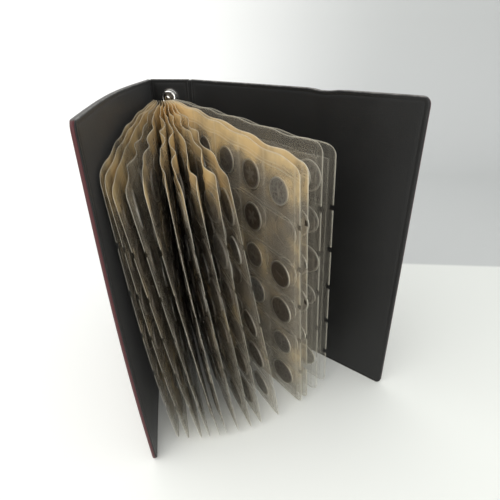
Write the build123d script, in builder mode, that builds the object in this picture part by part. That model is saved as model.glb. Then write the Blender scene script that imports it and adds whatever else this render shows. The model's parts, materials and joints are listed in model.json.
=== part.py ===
from build123d import *
import math
import os

# Coin album standing on its bottom edges, in millimetres.
# Origin: middle of the spine's bottom edge.  X runs along the spine's width, +X towards the back
# cover.  -Y is the fore-edge side, where the covers open.  Z is up.
# A "lean" is a heading on the ground, in degrees from -Y towards +X.

# ---- case: three boards between an outer vinyl skin and a vinyl lining
cover_height = 270.0
cover_width = 238.0        # hinge axis to fore edge
board_thickness = 2.4
skin_thickness = 0.45
skin_rim = 0.6             # outer skin turned over the edges of a board
lining_inset = 1.0         # edge of the outer skin to edge of the lining
corner_radius = 6.0
hinge_clearance = 0.3      # hinge bead to the panels beside it
lining_setback = 0.7       # further gap of the lining at a hinge, which lets a cover close
front_lean = 16.5
back_lean = 62.0

# ---- leaves: a back sheet with welded strips of coin pockets
leaf_leans = [17.6, 19.4, 21.4, 23.6, 26.0, 28.6, 31.6, 34.6, 38.0, 42.5, 47.5, 52.0, 56.0, 61.0]
closed_lean = 16.8         # heading of every leaf when the album is shut
leaf_height = 248.0
leaf_bottom = 4.0          # standing edge to the leaves' bottom edge
film = 0.15
pocket_depth = 1.32
leaf_gap = 0.14            # between neighbouring leaves when shut
pocket_rows = 6
pocket_columns = 5
row_pitch = 39.0
column_pitch = 36.0
bottom_margin = 4.0        # leaf's bottom edge to its lowest strip
outer_margin = 2.0         # last pocket strip to the leaf's fore edge
binding_margin = 9.0       # ring holes to the first pocket
punch_margin = 9.0         # ring holes to the leaf's inner edge
mouth_gap = 0.8            # open slit between two strips
seam = 3.5                 # welded width between two pockets
seam_below = 2.0           # welded width under a pocket
leaf_corner = 7.0
notch_depth = 3.5
notch_height = 5.0
hole_length = 12.0
hole_height = 6.0
hang_clearance = 0.3       # ring wire to the upper edge of the holes that hang on it

# ---- coins
coin_thickness = 1.2
coin_diameters = [25.0, 23.2, 26.5, 21.4, 25.8, 24.2]
empty_every = 6            # one pocket in six is empty

# ---- ring mechanism
ring_count = 4
ring_spacing = 70.0
wire_diameter = 2.0
ring_side_margin = 1.6     # outermost leaf to the ring wire's centre line
tip_gap = 0.2              # between the two half rings
rail_width = 19.0
rail_height = 7.0
rail_wall = 0.8
rail_top = 262.0
rail_bottom = 8.0
blade_thickness = 0.8
blade_level = 3.0          # spine's middle plane to the blades' middle plane
blade_root = 5.8           # x where the ring wire passes through a blade
blade_gap = 0.6
blade_clearance = 0.25
blade_end_gap = 9.0        # end of the rail's straight part to the end of the blades
slot_clearance = 0.75      # ring wire to the rail's side slots
eyelet_outer = 4.0
eyelet_inner = 2.8
eyelet_flange = 6.4
eyelet_wall = 0.5
eyelet_clearance = 0.1
cover_clearance = 1.6      # front cover to the rings, which need room to open

# ---- sizes worked out from those above
case_thickness = board_thickness + 2 * skin_thickness
half_case = case_thickness / 2
bead_radius = half_case
panel_start = bead_radius + hinge_clearance
leaf_count = len(leaf_leans)
leaf_thickness = 2 * film + pocket_depth
leaf_pitch = leaf_thickness + leaf_gap
leaf_width = punch_margin + binding_margin + pocket_columns * column_pitch + outer_margin
stack_half = (leaf_count - 1) * leaf_pitch / 2
ring_radius = stack_half + ring_side_margin
ring_depth = blade_level + math.sqrt(ring_radius**2 - blade_root**2)
ring_middle = leaf_bottom + leaf_height / 2
lean = math.radians(front_lean)
ring_reach = ring_radius + wire_diameter / 2 + cover_clearance + half_case
hinge_x = (ring_reach + ring_depth * math.sin(lean)) / math.cos(lean)
wire_radius = wire_diameter / 2
hole_drop = hole_height / 2 - wire_radius - hang_clearance
rail_floor = -half_case
rail_crest = rail_floor - rail_height
rail_curve = ((rail_width / 2) ** 2 + rail_height**2) / (2 * rail_height)
rail_dome_low = rail_bottom + rail_width / 2
rail_dome_high = rail_top - rail_width / 2

os.makedirs("parts", exist_ok=True)


def heading(degrees):
    """Unit vector on the ground, from -Y towards +X."""
    turn = math.radians(degrees)
    return Vector(math.sin(turn), -math.cos(turn), 0)


def standing_plane(foot, degrees):
    """Upright plane on a foot point: x along the heading, y up, normal to the heading's left."""
    along = heading(degrees)
    return Plane(origin=foot, x_dir=along, z_dir=Vector(along.Y, -along.X, 0))


def save(piece, name):
    piece.part.label = name
    export_step(piece.part, f"parts/{name}.step")


# ------------------------------------------------------------------ case

def cover_outline(start, inset, mode=Mode.ADD):
    """A cover's outline from its hinge side to its fore edge, whose two corners are rounded."""
    radius = corner_radius - inset
    end = cover_width - inset
    low = inset
    high = cover_height - inset
    with BuildLine() as edge:
        Polyline((end - radius, low), (start, low), (start, high), (end - radius, high))
        JernArc(start=(end - radius, high), tangent=(1, 0), radius=radius, arc_size=-90)
        Line((end, high - radius), (end, low + radius))
        JernArc(start=(end, low + radius), tangent=(0, -1), radius=radius, arc_size=-90)
    make_face(edge.edges(), mode=mode)


def make_cover(name, foot, degrees, inner):
    """Board, outer skin and lining of one cover.  inner is 1 where the plane's normal faces the
    leaves and -1 where it faces out."""
    plane = standing_plane(foot, degrees)
    outer_face = plane.offset(-inner * half_case)
    board_face = plane.offset(-inner * board_thickness / 2)
    lining_face = plane.offset(inner * board_thickness / 2)

    with BuildPart() as board:
        with BuildSketch(board_face):
            cover_outline(panel_start, skin_rim)
        extrude(amount=inner * board_thickness)
    save(board, f"{name}_board")

    with BuildPart() as skin:
        with BuildSketch(outer_face):
            cover_outline(panel_start, 0)
        extrude(amount=inner * skin_thickness)
        with BuildSketch(board_face):
            cover_outline(panel_start, 0)
            cover_outline(panel_start, skin_rim, mode=Mode.SUBTRACT)
        extrude(amount=inner * board_thickness)
    save(skin, f"{name}_outer_skin")

    with BuildPart() as lining:
        with BuildSketch(lining_face):
            cover_outline(panel_start + lining_setback, lining_inset)
        extrude(amount=inner * skin_thickness)
    save(lining, f"{name}_lining")


spine_plane = Plane.XZ     # x along the spine, y up, normal towards the fore edge
spine_length = 2 * (hinge_x - panel_start)
eyelet_places = [(0, rail_dome_low), (0, rail_dome_high)]
eyelet_hole = eyelet_outer / 2 + eyelet_clearance


def spine_rectangle(length, inset, mode=Mode.ADD):
    with Locations((0, cover_height / 2)):
        Rectangle(length, cover_height - 2 * inset, mode=mode)


def eyelet_holes():
    with Locations(*eyelet_places):
        Circle(eyelet_hole, mode=Mode.SUBTRACT)


with BuildPart() as spine_board:
    with BuildSketch(spine_plane.offset(-board_thickness / 2)):
        spine_rectangle(spine_length, skin_rim)
        eyelet_holes()
    extrude(amount=board_thickness)
save(spine_board, "spine_board")

with BuildPart() as spine_outer_skin:
    with BuildSketch(spine_plane.offset(-half_case)):
        spine_rectangle(spine_length, 0)
        eyelet_holes()
    extrude(amount=skin_thickness)
    with BuildSketch(spine_plane.offset(-board_thickness / 2)):
        spine_rectangle(spine_length, 0)
        spine_rectangle(spine_length, skin_rim, mode=Mode.SUBTRACT)
    extrude(amount=board_thickness)
save(spine_outer_skin, "spine_outer_skin")

with BuildPart() as spine_lining:
    with BuildSketch(spine_plane.offset(board_thickness / 2)):
        spine_rectangle(spine_length - 2 * lining_setback, lining_inset)
        eyelet_holes()
    extrude(amount=skin_thickness)
save(spine_lining, "spine_lining")

make_cover("front_cover", (-hinge_x, 0), front_lean, inner=-1)
make_cover("back_cover", (hinge_x, 0), back_lean, inner=1)

# The vinyl fold between two panels is a round bead, full height, on the hinge axis.
for name, side in (("front_hinge_fold", -1), ("back_hinge_fold", 1)):
    with BuildPart() as fold:
        with BuildSketch():
            with Locations((side * hinge_x, 0)):
                Circle(bead_radius)
        extrude(amount=cover_height)
    save(fold, name)


# ------------------------------------------------------------------ ring mechanism

ring_heights = [ring_middle + (k - (ring_count - 1) / 2) * ring_spacing for k in range(ring_count)]
ring_centre = Vector(0, -ring_depth, 0)
rail_axis_y = rail_crest + rail_curve


def rail_arc_x(radius, y):
    """Half width of a rail arc of the given radius at a depth y."""
    return math.sqrt(radius**2 - (y - rail_axis_y) ** 2)


def rail_profile(left):
    """Arched section of the rail, from x = left to its right edge."""
    outer = rail_curve
    inner = rail_curve - rail_wall
    right_outer = rail_arc_x(outer, rail_floor)
    right_inner = rail_arc_x(inner, rail_floor)
    with BuildLine() as section:
        if left == 0:
            CenterArc((0, rail_axis_y), outer, -90, math.degrees(math.acos(
                (rail_axis_y - rail_floor) / outer)))
            CenterArc((0, rail_axis_y), inner, -90, math.degrees(math.acos(
                (rail_axis_y - rail_floor) / inner)))
            Line((0, rail_crest), (0, rail_crest + rail_wall))
        else:
            ThreePointArc((-right_outer, rail_floor), (0, rail_crest), (right_outer, rail_floor))
            ThreePointArc(
                (-right_inner, rail_floor), (0, rail_crest + rail_wall), (right_inner, rail_floor)
            )
            Line((-right_outer, rail_floor), (-right_inner, rail_floor))
        Line((right_outer, rail_floor), (right_inner, rail_floor))
    make_face(section.edges())


slot_height = wire_diameter + 2 * slot_clearance
slot_top = rail_floor - rail_height * 0.65

with BuildPart() as ring_rail:
    with BuildSketch(Plane.XY.offset(rail_dome_low)):
        rail_profile(left=-1)
    extrude(amount=rail_dome_high - rail_dome_low)
    for dome_height, arc in ((rail_dome_high, -180), (rail_dome_low, 180)):
        with BuildSketch(Plane.XY.offset(dome_height)):
            rail_profile(left=0)
        revolve(axis=Axis((0, 0, dome_height), (0, 1, 0)), revolution_arc=arc)
    # side slots where the half rings come out
    with Locations(*[(side * rail_width / 2, (slot_top + rail_floor) / 2, height)
                     for side in (-1, 1) for height in ring_heights]):
        Box(rail_width / 3, rail_floor - slot_top, slot_height, mode=Mode.SUBTRACT)
    # eyelet holes in the two domed ends
    with BuildSketch(Plane.XZ.offset(-rail_floor)):
        with Locations(*eyelet_places):
            Circle(eyelet_hole)
    extrude(amount=rail_height * 2, mode=Mode.SUBTRACT)
save(ring_rail, "ring_rail")

# Hollow eyelets hold the rail: a tube through rail and spine with a flange at each end.
with BuildPart() as rail_eyelets:
    for place in eyelet_places:
        with BuildSketch(Plane.XZ.offset(-half_case)):
            with Locations(place):
                Circle(eyelet_outer / 2)
                Circle(eyelet_inner / 2, mode=Mode.SUBTRACT)
        extrude(amount=case_thickness + rail_height)
        for flange_plane, outwards in ((Plane.XZ.offset(-half_case), -1), (Plane.XZ.offset(-rail_crest), 1)):
            with BuildSketch(flange_plane):
                with Locations(place):
                    Circle(eyelet_flange / 2)
                    Circle(eyelet_inner / 2, mode=Mode.SUBTRACT)
            extrude(amount=outwards * eyelet_wall)
save(rail_eyelets, "rail_eyelets")

blade_outer_x = rail_arc_x(rail_curve - rail_wall, -blade_level - blade_thickness / 2) - blade_clearance
blade_low = rail_dome_low + blade_end_gap
blade_high = rail_dome_high - blade_end_gap
root_angle = math.degrees(math.asin(blade_root / ring_radius))
tip_angle = math.degrees(tip_gap / 2 / ring_radius)

for name, side in (("left", -1), ("right", 1)):
    # One half ring per height: a round wire bent from the blade to the tip.
    with BuildPart() as half_rings:
        for height in ring_heights:
            first = 90 - root_angle
            last = -90 + tip_angle
            if side < 0:
                first, last = 180 - first, 180 - last
            with BuildLine(Plane.XY.offset(height)) as bend:
                CenterArc((0, -ring_depth), ring_radius, first, last - first)
            with BuildSketch(bend.line ^ 0):
                Circle(wire_radius)
            sweep(path=bend.line)
    save(half_rings, f"{name}_half_rings")

    # The blade is notched around the ring wires that are riveted through it.
    with BuildPart() as blade:
        with Locations((side * (blade_outer_x + blade_gap / 2) / 2, -blade_level, (blade_low + blade_high) / 2)):
            Box(blade_outer_x - blade_gap / 2, blade_thickness, blade_high - blade_low)
        add(half_rings.part, mode=Mode.SUBTRACT)
    save(blade, f"{name}_blade")


# ------------------------------------------------------------------ leaves and coins

closed_along = heading(closed_lean)
closed_across = Vector(-closed_along.Y, closed_along.X, 0)


def leaf_hinge(number):
    """Where a leaf's holes ride on the rings: its place across the shut stack, on the ring circle."""
    across = (number - (leaf_count - 1) / 2) * leaf_pitch
    along = math.sqrt(ring_radius**2 - across**2)
    return ring_centre + closed_across * across + closed_along * along


def strip_low(row):
    return leaf_bottom + bottom_margin + row * row_pitch


def pocket_centre_x(column):
    return binding_margin + (column + 0.5) * column_pitch


def leaf_notches():
    """Small square cuts in the fore edge, between two pocket strips."""
    with Locations(*[(leaf_width - punch_margin, strip_low(row)) for row in range(1, pocket_rows)]):
        Rectangle(2 * notch_depth, notch_height, mode=Mode.SUBTRACT)


for number, degrees in enumerate(leaf_leans):
    hinge = leaf_hinge(number)
    back_face = standing_plane(hinge, degrees).offset(-film / 2)
    strip_face = back_face.offset(film)
    leaf = f"leaf_{number + 1:02d}"

    with BuildPart() as back_sheet:
        with BuildSketch(back_face):
            with Locations((leaf_width / 2 - punch_margin, leaf_bottom + leaf_height / 2)):
                Rectangle(leaf_width, leaf_height)
            fillet(vertices().group_by(Axis.X)[-1], leaf_corner)
            leaf_notches()
            with Locations(*[(0, height - hole_drop) for height in ring_heights]):
                SlotOverall(hole_length, hole_height, mode=Mode.SUBTRACT)
        extrude(amount=film)
    save(back_sheet, f"{leaf}_back_sheet")

    with BuildPart() as strips:
        strip_length = pocket_columns * column_pitch
        with BuildSketch(strip_face):
            for row in range(pocket_rows):
                with Locations((binding_margin + strip_length / 2, strip_low(row) + (row_pitch - mouth_gap) / 2)):
                    Rectangle(strip_length, row_pitch - mouth_gap)
            leaf_notches()
        extrude(amount=pocket_depth + film)
        with BuildSketch(strip_face):
            for row in range(pocket_rows):
                for column in range(pocket_columns):
                    with Locations((pocket_centre_x(column), strip_low(row) + seam_below)):
                        Rectangle(column_pitch - seam, row_pitch, align=(Align.CENTER, Align.MIN))
                with Locations((binding_margin, strip_low(row) - mouth_gap)):
                    Rectangle(
                        strip_length, mouth_gap + seam_below,
                        align=(Align.MIN, Align.MIN), mode=Mode.SUBTRACT,
                    )
        extrude(amount=pocket_depth, mode=Mode.SUBTRACT)
    save(strips, f"{leaf}_pocket_strips")

    with BuildPart() as coins:
        with BuildSketch(strip_face.offset((pocket_depth - coin_thickness) / 2)):
            for row in range(pocket_rows):
                for column in range(pocket_columns):
                    order = number * 7 + row * 5 + column * 3
                    if order % empty_every == 0:
                        continue
                    lift = seam_below / 2 + (row_pitch - mouth_gap) / 2
                    with Locations((pocket_centre_x(column), strip_low(row) + lift)):
                        Circle(coin_diameters[(order + column) % len(coin_diameters)] / 2)
        extrude(amount=coin_thickness)
    save(coins, f"{leaf}_coins")
    print(leaf, "hinge", round(hinge.X, 4), round(hinge.Y, 4), "lean", degrees)

print("hinge_x", round(hinge_x, 4), "ring centre y", round(-ring_depth, 4), "ring radius", round(ring_radius, 4))
print("blade pivot x", round(blade_outer_x, 4), "y", -blade_level)
print("ring heights", ring_heights)
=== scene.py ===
"""Looks of a ring-bound coin album that stands open on its bottom edges: a padded vinyl case, a
four-ring mechanism, fourteen clear pocket leaves and their coins, on a plain pale stage.

All shapes are worked out in millimetres and put into the meshes in metres."""

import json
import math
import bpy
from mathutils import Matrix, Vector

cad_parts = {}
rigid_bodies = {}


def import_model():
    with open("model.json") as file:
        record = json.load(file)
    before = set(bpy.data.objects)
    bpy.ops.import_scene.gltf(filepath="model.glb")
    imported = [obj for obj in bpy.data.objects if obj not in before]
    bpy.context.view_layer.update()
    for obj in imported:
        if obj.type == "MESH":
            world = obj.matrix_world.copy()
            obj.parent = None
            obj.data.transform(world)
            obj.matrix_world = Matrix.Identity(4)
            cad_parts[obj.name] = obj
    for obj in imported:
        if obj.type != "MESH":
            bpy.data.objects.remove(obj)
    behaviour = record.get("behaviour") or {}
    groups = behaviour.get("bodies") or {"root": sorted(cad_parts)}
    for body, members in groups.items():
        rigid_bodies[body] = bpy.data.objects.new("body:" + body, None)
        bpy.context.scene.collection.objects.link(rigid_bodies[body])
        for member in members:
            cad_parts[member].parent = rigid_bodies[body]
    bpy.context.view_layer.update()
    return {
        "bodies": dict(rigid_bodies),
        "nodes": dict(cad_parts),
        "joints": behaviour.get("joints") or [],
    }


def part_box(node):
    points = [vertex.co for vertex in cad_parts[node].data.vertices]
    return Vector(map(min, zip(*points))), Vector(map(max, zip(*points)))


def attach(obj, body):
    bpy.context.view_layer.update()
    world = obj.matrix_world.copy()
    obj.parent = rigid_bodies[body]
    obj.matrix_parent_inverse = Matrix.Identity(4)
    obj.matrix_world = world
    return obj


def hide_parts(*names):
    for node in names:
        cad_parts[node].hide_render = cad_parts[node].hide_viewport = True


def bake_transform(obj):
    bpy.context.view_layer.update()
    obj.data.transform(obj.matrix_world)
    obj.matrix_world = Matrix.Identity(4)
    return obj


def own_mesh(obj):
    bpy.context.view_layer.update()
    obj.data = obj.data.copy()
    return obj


bl_info = {
    "name": "Coin Album",
    "version": (1, 0, 0),
    "blender": (4, 5, 0),
    "location": "View3D > Sidebar > Coin Album",
    "description": "Builds the case, rings, pocket leaves and coins of a standing coin album",
    "category": "Add Mesh",
}

import bpy
import numpy as np
from bpy.props import FloatProperty, FloatVectorProperty, IntProperty, PointerProperty
from mathutils import Matrix

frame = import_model()
JOINTS = {joint["name"]: joint for joint in frame["joints"]}
LEAVES = sorted(body for body in frame["bodies"] if body.startswith("leaf_"))
MM = 0.001

# Millimetres: the board inside a cover, one pocket to the next along a row and up a column, the
# distance from a pocket's lower weld to its coin's middle, and where the first pocket starts.
BOARD = 2.4
COLUMNS, ROWS = 5, 6
COLUMN_PITCH, ROW_PITCH = 36.0, 39.0
COIN_RISE = 20.1
POCKETS_LOW, POCKETS_IN = 8.0, 9.0


# ---------------------------------------------------------------- places read from the frame
def node_box(node):
    """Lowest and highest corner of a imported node, in millimetres."""
    low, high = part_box(node)
    return np.array(low) / MM, np.array(high) / MM


def node_lean(node, thickness):
    """Heading in degrees, from -Y towards +X, of an upright plate: its box is the plate's length
    turned by the heading plus its thickness turned by it, so a few rounds give the angle."""
    low, high = node_box(node)
    across, deep = (high - low)[:2]
    lean = math.atan2(across, deep)
    for _ in range(8):
        lean = math.atan2(
            across - thickness * math.cos(lean), deep - thickness * math.sin(lean)
        )
    return math.degrees(lean)


def pivot(joint):
    """Foot of a joint's upright axis, in millimetres."""
    return np.array(JOINTS[joint]["pos_m"]) / MM


COVER_TOP = float(node_box("front_cover_outer_skin")[1][2])
RAIL_BOX = node_box("ring_rail")


# ---------------------------------------------------------------- settings
def size(name, text, millimetres):
    """A length setting whose default is given in millimetres."""
    return FloatProperty(
        name=name, description=text, default=millimetres * MM, unit="LENGTH", precision=4
    )


def tint(name, text, colour):
    """A colour setting."""
    return FloatVectorProperty(
        name=name, description=text, default=colour, size=3, subtype="COLOR", min=0, max=1
    )


def turn(name, text, degrees):
    """An angle setting whose default is given in degrees."""
    return FloatProperty(
        name=name, description=text, default=math.radians(degrees), subtype="ANGLE"
    )


class CaseSettings(bpy.types.PropertyGroup):
    reach: size("Cover reach", "Hinge axis to the fore edge of a cover", 238.0)
    height: size("Cover height", "Height of the covers and the spine", COVER_TOP)
    half_thickness: size("Half thickness", "Half of a panel with its skins", 1.65)
    corner: size("Corner radius", "Rounding of the covers' outer corners", 6.0)
    start: size("Panel start", "Hinge axis to the nearest edge of a panel", 1.95)
    front_bow: size("Front bow", "How far the front cover bellies outwards", 8.5)
    back_bow: size("Back bow", "How far the back cover bellies outwards", 1.2)
    outer_colour: tint("Outer vinyl", "Dark red outer skin", (0.062, 0.0108, 0.0125))
    inner_colour: tint("Inner vinyl", "Black lining", (0.0052, 0.0051, 0.0048))
    # painted highlight: this grey stands for the welded edges' wear and for the light they catch
    worn_and_lit_colour: tint("Worn and lit edge", "Grey of the rubbed welded edges", (0.20, 0.19, 0.18))


class LeafSettings(bpy.types.PropertyGroup):
    inner: size("Inner margin", "Ring holes to the leaf's inner edge", 9.0)
    outer: size("Outer reach", "Ring holes to the leaf's fore edge", 195.0)
    bottom: size("Bottom", "Standing edge to the leaf's bottom edge", 4.0)
    height: size("Height", "Height of a leaf", 248.0)
    film: size("Film", "Thickness of the clear film", 0.15)
    swell: size("Pocket swell", "How far a filled pocket stands off its back sheet", 1.45)
    amber: tint("Amber film", "Film yellowed with age", (0.90, 0.67, 0.33))
    olive: tint("Olive film", "Less aged film", (0.300, 0.258, 0.200))
    clear: tint("Clear film", "Film that is hardly aged", (0.62, 0.60, 0.51))


class CoinSettings(bpy.types.PropertyGroup):
    thickness: size("Thickness", "Thickness of a coin at its rim", 1.2)
    relief: size("Relief", "Depth of the struck faces", 0.14)
    sides: IntProperty(name="Sides", description="Facets round a coin", default=40, min=12)
    bronze: tint("Bronze", "Dark old bronze", (0.050, 0.034, 0.022))
    silver: tint("Silver", "Dull cupro-nickel", (0.20, 0.19, 0.17))


class StageSettings(bpy.types.PropertyGroup):
    floor_colour: tint("Table", "Pale table top", (0.80, 0.812, 0.77))
    far_colour: tint("Far table", "Paler tone further back", (0.56, 0.57, 0.56))
    key: FloatProperty(name="Key light", description="Power of the large soft light", default=12)
    fill: FloatProperty(name="Fill light", description="Power of the light in front", default=8)
    sky: FloatProperty(name="Surroundings", description="Strength of the room", default=0.80)
    lens: FloatProperty(name="Lens", description="Focal length in mm", default=27.7)
    yaw: turn("Yaw", "Camera heading from +Y towards +X", -12.3)
    pitch: turn("Pitch", "Camera tilt below the horizon", 28.43)
    roll: turn("Roll", "Camera roll", -0.9)


# ---------------------------------------------------------------- mesh helpers
def soft_step(value):
    """Smooth ramp from 0 to 1: the value held between 0 and 1, squared, times 3 less twice it."""
    value = np.clip(value, 0.0, 1.0)
    return value * value * (3 - 2 * value)


def heading(degrees):
    """Unit vectors along a heading and to its left, for an array of headings in degrees."""
    angle = np.radians(degrees)
    zero = np.zeros_like(angle)
    along = np.stack([np.sin(angle), -np.cos(angle), zero], -1)
    left = np.stack([-np.cos(angle), -np.sin(angle), zero], -1)
    return along, left


def hash_waves(seed, count):
    """Fixed pseudo-random numbers from 0 to 1."""
    return np.random.default_rng(seed).random(count)


def make_piece(name, points, faces, materials, face_material=None, corners=None, values=None):
    """One mesh object at the origin from points in millimetres.  Its volume, the sum of the
    tetrahedra between the origin and each face, tells whether the faces point outwards, and they
    are turned round if it is negative."""
    faces = np.asarray(faces, int)
    used = np.unique(faces)
    lookup = np.full(len(points), -1)
    lookup[used] = np.arange(len(used))
    points, faces = points[used], lookup[faces]
    a, b, c, d = (points[faces[:, k]] for k in range(4))
    volume = (np.cross(b - a, c - a) * a).sum() + (np.cross(c - a, d - a) * a).sum()
    if volume < 0:
        faces = faces[:, ::-1]
    mesh = bpy.data.meshes.new(name)
    quads = len(faces)
    mesh.vertices.add(len(points))
    mesh.vertices.foreach_set("co", (points * MM).astype(np.float32).ravel())
    mesh.loops.add(quads * 4)
    mesh.loops.foreach_set("vertex_index", faces.astype(np.int32).ravel())
    mesh.polygons.add(quads)
    mesh.polygons.foreach_set("loop_start", np.arange(quads, dtype=np.int32) * 4)
    if face_material is not None:
        mesh.polygons.foreach_set("material_index", np.asarray(face_material, np.int32))
    mesh.update(calc_edges=True)
    mesh.polygons.foreach_set("use_smooth", np.ones(quads, bool))
    if corners is not None:
        layer = mesh.uv_layers.new(name="leaf_map")
        spread = corners[used][faces.ravel()]
        layer.data.foreach_set("uv", spread.astype(np.float32).ravel())
    for key, value in (values or {}).items():
        attribute = mesh.attributes.new(key, "FLOAT", "POINT")
        attribute.data.foreach_set("value", value[used].astype(np.float32))
    mesh.set_sharp_from_angle(angle=math.radians(50))
    for material in materials:
        mesh.materials.append(material)
    piece = bpy.data.objects.new(name, mesh)
    bpy.context.scene.collection.objects.link(piece)
    return piece


def shell_faces(rows, columns, keep=None):
    """Faces of a closed thin shell over a grid: the kept cells on the face side, the same cells
    turned round on the back side, and a wall wherever a kept cell has no kept neighbour.
    Returns the faces and, for each, 0 for face side, 1 for back side and 2 for wall."""
    if keep is None:
        keep = np.ones((rows - 1, columns - 1), bool)
    index = np.arange(rows * columns).reshape(rows, columns)
    cell = np.stack([index[:-1, :-1], index[1:, :-1], index[1:, 1:], index[:-1, 1:]], -1)
    front = cell[keep]
    back = front[:, ::-1] + rows * columns
    padded = np.pad(keep, 1)
    walls = []
    beside = (padded[1:-1, :-2], padded[2:, 1:-1], padded[1:-1, 2:], padded[:-2, 1:-1])
    for side, other in enumerate(beside):
        edge = cell[keep & ~other]
        first, second = edge[:, side], edge[:, (side + 1) % 4]
        walls.append(
            np.stack([second, first, first + rows * columns, second + rows * columns], -1)
        )
    walls = np.concatenate(walls)
    faces = np.concatenate([front, back, walls])
    kind = np.repeat([0, 1, 2], [len(front), len(back), len(walls)])
    return faces, kind


def two_sided(face, back):
    """Both sides of a shell as one list of points."""
    return np.concatenate([face.reshape(-1, 3), back.reshape(-1, 3)])


def both(value):
    """A grid's value for both sides of its shell."""
    return np.tile(value.ravel(), 2)


def make_shell(name, face, back, materials, keep=None, **details):
    """One mesh object from the two sides of a thin shell, each a grid of points."""
    faces, _ = shell_faces(*face.shape[:2], keep=keep)
    return make_piece(name, two_sided(face, back), faces, materials, **details)


def edge_lines(length, fine, step):
    """Grid lines along a side: fine ones near both ends and even ones between."""
    fine = np.array(fine, float)
    count = max(2, int(round((length - 2 * fine[-1]) / step)))
    middle = np.linspace(fine[-1], length - fine[-1], count + 1)
    return np.concatenate([fine[:-1], middle, (length - fine[:-1])[::-1]])


def rounded(along, up, length, height, radius, near=False):
    """Draws a grid's far corners in to arcs.  A row at depth t inside a corner of radius r ends
    r - sqrt(r^2 - (r - t)^2) short, and the last 2r of the row are pressed together to fit."""
    depth = np.minimum(up, height - up)
    short = radius - np.sqrt(
        np.maximum(radius**2 - (radius - np.clip(depth, 0, radius)) ** 2, 0)
    )
    zone = 2 * radius
    far = np.clip((along - (length - zone)) / zone, 0, 1)
    moved = along - far * short
    if near:
        moved = moved + np.clip((zone - along) / zone, 0, 1) * short
    return moved


# ---------------------------------------------------------------- materials
def kept(store):
    """Decorator: a material or node group that is already there under its name is used again."""

    def wrap(build):
        def find(name, *details):
            return getattr(bpy.data, store).get(name) or build(name, *details)

        return find

    return wrap


def fill(node, values):
    """Fills a node's inputs: sockets are linked, and numbers, vectors and colours are written."""
    for label, value in values.items():
        if isinstance(value, bpy.types.NodeSocket):
            node.id_data.links.new(value, node.inputs[label])
        else:
            node.inputs[label].default_value = value


def new_group(name, inputs, outputs):
    """An empty shader node group.  An input's default tells its kind: a number, a vector of three
    or a colour of four.  The output named Colour is a colour, and the others are values."""
    group = bpy.data.node_groups.new(name, "ShaderNodeTree")
    kinds = {1: "NodeSocketFloat", 3: "NodeSocketVector", 4: "NodeSocketColor"}
    for label, default in inputs.items():
        kind = kinds[np.size(default)]
        socket = group.interface.new_socket(name=label, in_out="INPUT", socket_type=kind)
        socket.default_value = default
    for label in outputs:
        kind = kinds[4 if label == "Colour" else 1]
        group.interface.new_socket(name=label, in_out="OUTPUT", socket_type=kind)
    put = group.nodes.new("NodeGroupInput").outputs
    return group, put, group.nodes.new("NodeGroupOutput")


def math_node(tree, operation, *values, clamp=False):
    """A Math node whose inputs are numbers or sockets; returns its output."""
    node = tree.nodes.new("ShaderNodeMath")
    node.operation = operation
    node.use_clamp = clamp
    fill(node, dict(enumerate(values)))
    return node.outputs[0]


def times(tree, first, second):
    """The product of two numbers or sockets."""
    return math_node(tree, "MULTIPLY", first, second)


def plus(tree, first, second, clamp=False):
    """The sum of two numbers or sockets."""
    return math_node(tree, "ADD", first, second, clamp=clamp)


def less(tree, first, second, clamp=False):
    """The first number or socket less the second."""
    return math_node(tree, "SUBTRACT", first, second, clamp=clamp)


def larger(tree, first, second):
    """The larger of two numbers or sockets."""
    return math_node(tree, "MAXIMUM", first, second)


def mix_node(tree, share, first, second):
    """A colour Mix node on sockets or colours of three numbers; returns its output."""
    node = tree.nodes.new("ShaderNodeMix")
    node.data_type = "RGBA"
    first, second = ((*c, 1) if isinstance(c, tuple) else c for c in (first, second))
    fill(node, {0: share, 6: first, 7: second})
    return node.outputs[2]


def ramp_node(tree, value, low, high):
    """A smooth Map Range from low..high to 0..1; returns its output."""
    node = tree.nodes.new("ShaderNodeMapRange")
    node.interpolation_type = "SMOOTHSTEP"
    fill(node, {"From Min": low, "From Max": high, "Value": value})
    return node.outputs["Result"]


def noise_node(tree, vector, scale, detail=4.0, rough=0.55):
    """A Noise Texture on a vector socket; returns its value output."""
    node = tree.nodes.new("ShaderNodeTexNoise")
    fill(node, {"Vector": vector, "Scale": scale, "Detail": detail, "Roughness": rough})
    return node.outputs["Fac"]


def stretched(tree, vector, upright):
    """A vector socket with its height scaled, so that a noise on it runs in upright streaks."""
    node = tree.nodes.new("ShaderNodeMapping")
    fill(node, {"Vector": vector, "Scale": (1.0, 1.0, upright)})
    return node.outputs[0]


def parted(tree, vector):
    """The three values of a vector socket."""
    node = tree.nodes.new("ShaderNodeSeparateXYZ")
    fill(node, {0: vector})
    return node.outputs


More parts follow.
